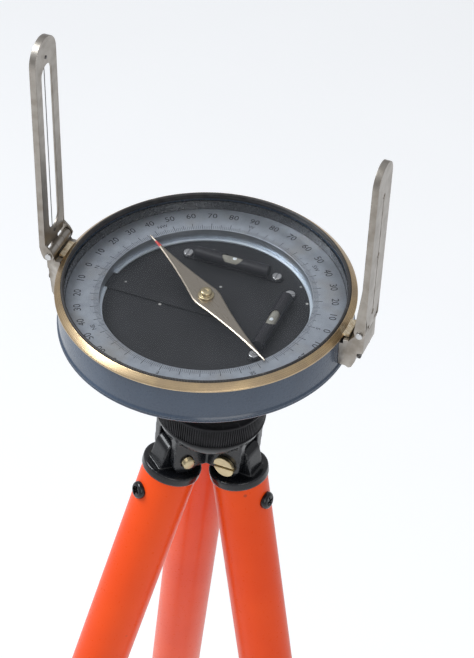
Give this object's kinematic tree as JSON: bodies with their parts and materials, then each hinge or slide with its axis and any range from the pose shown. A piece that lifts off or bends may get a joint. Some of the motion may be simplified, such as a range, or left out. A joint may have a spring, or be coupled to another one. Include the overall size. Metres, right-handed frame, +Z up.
{
  "type": "surveying compass with sight vanes on a tripod",
  "caption": "Round surveying compass with folding sight vanes, needle and spirit levels, on a ball joint and a three-leg telescoping tripod.",
  "frame": {"origin": "point on the ground straight below the compass axis", "axes": "+Z up along the compass axis, -X towards the object vane, +X towards the eye vane, +Y towards the west mark of the dial"},
  "size_m": [0.4582, 0.4886, 1.3144],
  "materials": {
    "enamel_blue": "blue-grey gloss enamel",
    "brass": "polished, lightly tarnished",
    "black_ring": "satin black lacquer",
    "glass": "clear polished glass",
    "silvered": "matt silvered scale with black graduations",
    "black_plate": "matt black lacquer",
    "needle_steel": "brushed, red band near the north tip",
    "nickel": "worn nickel plate",
    "steel": "machined steel",
    "black_gloss": "gloss black enamel",
    "black_plastic": "moulded black plastic",
    "seat": "natural nylon",
    "orange_paint": "gloss orange-red paint",
    "leg_alloy": "drawn tube"
  },
  "bodies": {
    "head": {"tripod_head": "black_gloss", "hinge_bolts": "brass"},
    "clamp_ring": {"clamp_ring": "black_plastic"},
    "ball_seat": {"ball_seat": "seat"},
    "ball": {"ball_stud": "steel"},
    "compass": {"compass_box": "enamel_blue", "brass_bezel": "brass", "retaining_ring": "black_ring", "cover_glass": "glass", "graduated_ring": "silvered", "ledge_ring": "silvered", "base_plate": "black_plate", "pivot_post": "steel", "plate_screws": "nickel", "level_bed_x": "black_plate", "level_bed_y": "black_plate", "level_vial_x": "glass", "level_vial_y": "glass", "azimuth_hub": "black_gloss", "object_bracket": "nickel", "eye_bracket": "nickel", "object_pin": "nickel", "eye_pin": "nickel", "bracket_screws": "nickel"},
    "azimuth_clamp": {"azimuth_clamp": "brass"},
    "object_vane": {"object_vane": "nickel", "sight_wire": "steel"},
    "eye_vane": {"eye_vane": "nickel"},
    "needle": {"needle": "needle_steel", "needle_cap": "brass"},
    "arrest_screw": {"arrest_screw": "brass"},
    "lift_arm": {"lift_arm": "black_plate"},
    "leg_a": {"leg_cap_a": "black_gloss", "leg_tube_a": "orange_paint", "leg_screw_a": "black_gloss", "leg_collar_a": "black_plastic"},
    "lower_leg_a": {"lower_tube_a": "leg_alloy", "foot_a": "steel"},
    "leg_knob_a": {"leg_knob_a": "black_plastic"},
    "leg_b": {"leg_cap_b": "black_gloss", "leg_tube_b": "orange_paint", "leg_screw_b": "black_gloss", "leg_collar_b": "black_plastic"},
    "lower_leg_b": {"lower_tube_b": "leg_alloy", "foot_b": "steel"},
    "leg_knob_b": {"leg_knob_b": "black_plastic"},
    "leg_c": {"leg_cap_c": "black_gloss", "leg_tube_c": "orange_paint", "leg_screw_c": "black_gloss", "leg_collar_c": "black_plastic"},
    "lower_leg_c": {"lower_tube_c": "leg_alloy", "foot_c": "steel"},
    "leg_knob_c": {"leg_knob_c": "black_plastic"}
  },
  "joints": [
    {"name": "clamp_ring_turn", "type": "hinge", "parent": "head", "child": "clamp_ring", "pos_m": [0.0028, 0.0012, 1.1257], "axis": [0.0814, 0.0096, 0.9966], "range_deg": [0, 60]},
    {"name": "ball_tilt_x", "type": "hinge", "parent": "head", "child": "ball_seat", "pos_m": [0.0028, 0.0012, 1.1257], "axis": [1, 0, 0], "range_deg": [-12, 12]},
    {"name": "ball_tilt_y", "type": "hinge", "parent": "ball_seat", "child": "ball", "pos_m": [0.0028, 0.0012, 1.1257], "axis": [0, 1, 0], "range_deg": [-12, 12]},
    {"name": "azimuth", "type": "hinge", "parent": "ball", "child": "compass", "pos_m": [0.0028, 0.0012, 1.1257], "axis": [0, 0, 1], "continuous": true},
    {"name": "azimuth_clamp_turn", "type": "hinge", "parent": "compass", "child": "azimuth_clamp", "pos_m": [0.0028, 0.0212, 1.1597], "axis": [0, 1, 0], "range_deg": [0, 90]},
    {"name": "object_vane_fold", "type": "hinge", "parent": "compass", "child": "object_vane", "pos_m": [-0.0752, 0, 1.1988], "axis": [0, 1, 0], "range_deg": [0, 90]},
    {"name": "eye_vane_fold", "type": "hinge", "parent": "compass", "child": "eye_vane", "pos_m": [0.0783, 0, 1.202], "axis": [0, -1, 0], "range_deg": [0, 87.5]},
    {"name": "needle_spin", "type": "hinge", "parent": "compass", "child": "needle", "pos_m": [0, 0, 1.1921], "axis": [0, 0, 1], "continuous": true},
    {"name": "arrest_turn", "type": "hinge", "parent": "compass", "child": "arrest_screw", "pos_m": [-0.036, 0, 1.1765], "axis": [0, 0, 1], "range_deg": [0, 180]},
    {"name": "arm_lift", "type": "hinge", "parent": "compass", "child": "lift_arm", "pos_m": [-0.058, 0, 1.1849], "axis": [0, -1, 0], "range_deg": [0, 1]},
    {"name": "leg_fold_a", "type": "hinge", "parent": "head", "child": "leg_a", "pos_m": [0.017, -0.00165, 1.09818], "axis": [0.1555, 0.9876, -0.0222], "range_deg": [0, 9]},
    {"name": "leg_fold_b", "type": "hinge", "parent": "head", "child": "leg_b", "pos_m": [-0.00528, 0.01645, 1.09982], "axis": [-0.9303, -0.358, 0.0794], "range_deg": [0, 9]},
    {"name": "leg_fold_c", "type": "hinge", "parent": "head", "child": "leg_c", "pos_m": [-0.00975, -0.01195, 1.10046], "axis": [0.7748, -0.6296, -0.0572], "range_deg": [0, 9]},
    {"name": "leg_slide_a", "type": "slide", "parent": "leg_a", "child": "lower_leg_a", "axis": [-0.1473, 0.0454, 0.9881], "range_m": [-0.06, 0.4]},
    {"name": "leg_slide_b", "type": "slide", "parent": "leg_b", "child": "lower_leg_b", "axis": [0.1614, -0.2055, 0.9653], "range_m": [-0.06, 0.4]},
    {"name": "leg_slide_c", "type": "slide", "parent": "leg_c", "child": "lower_leg_c", "axis": [0.2234, 0.188, 0.9564], "range_m": [-0.06, 0.4]},
    {"name": "leg_knob_turn_a", "type": "hinge", "parent": "leg_a", "child": "leg_knob_a", "pos_m": [0.13266, -0.03356, 0.48858], "axis": [0.9768, -0.1504, 0.1525], "range_deg": [0, 270]},
    {"name": "leg_knob_turn_b", "type": "hinge", "parent": "leg_b", "child": "leg_knob_b", "pos_m": [-0.11367, 0.1666, 0.50677], "axis": [-0.3292, 0.9108, 0.249], "range_deg": [0, 270]},
    {"name": "leg_knob_turn_c", "type": "hinge", "parent": "leg_c", "child": "leg_knob_c", "pos_m": [-0.16311, -0.14737, 0.51382], "axis": [-0.5914, -0.7538, 0.2863], "range_deg": [0, 270]}
  ],
  "couplings": [
    {"joint": "arm_lift", "follows": "arrest_turn", "ratio": 0.0055}
  ]
}
